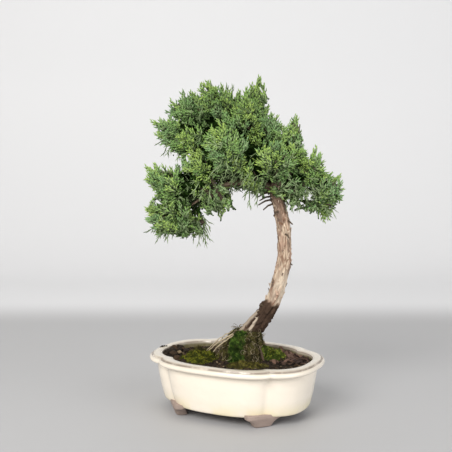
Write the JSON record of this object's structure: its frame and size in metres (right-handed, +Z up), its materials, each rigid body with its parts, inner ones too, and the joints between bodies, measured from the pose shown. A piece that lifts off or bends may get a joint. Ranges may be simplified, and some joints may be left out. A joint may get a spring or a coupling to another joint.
{
  "type": "kishu juniper bonsai",
  "caption": "Juniper bonsai with a bare curved trunk and a leaning crown of foliage tufts, growing from a mossy mound of soil in a cream glazed, lobed oval pot on bracket feet.",
  "frame": {"origin": "on the surface that it stands on, under the middle of its bounding box", "axes": "+Z up, +X along the pot's long side, -Y out of the pot's long front side; the tree's show side faces azimuth 27 degrees, between the front and the right"},
  "size_m": [0.1752, 0.125, 0.311],
  "materials": {
    "glazed_stoneware": "gloss",
    "screen_plastic": "matte",
    "soil": "matte",
    "bark": "matte",
    "moss": "matte",
    "foliage": "matte"
  },
  "bodies": {
    "root": {"pot": "glazed_stoneware", "drain_screen_left": "screen_plastic", "drain_screen_right": "screen_plastic", "soil": "soil", "trunk_and_branches": "bark", "moss_mound": "moss", "moss_left": "moss", "moss_right": "moss", "moss_front": "moss", "moss_back": "moss", "foliage_low_middle": "foliage", "foliage_low_inner": "foliage", "foliage_low_front": "foliage", "foliage_low_outer": "foliage", "foliage_low_tip": "foliage", "foliage_low_hanging": "foliage", "foliage_low_back": "foliage", "foliage_middle_front": "foliage", "foliage_middle_inner": "foliage", "foliage_middle_upper": "foliage", "foliage_middle_outer": "foliage", "foliage_middle_back": "foliage", "foliage_upper_middle": "foliage", "foliage_upper_front": "foliage", "foliage_upper_outer": "foliage", "foliage_upper_back": "foliage", "foliage_apex": "foliage", "foliage_shoulder": "foliage", "foliage_shoulder_back": "foliage", "foliage_right_front": "foliage", "foliage_right_inner": "foliage", "foliage_right_spike": "foliage", "foliage_right_outer": "foliage", "foliage_right_tip": "foliage", "foliage_right_hanging": "foliage", "foliage_right_under": "foliage", "foliage_right_back": "foliage"}
  },
  "joints": []
}
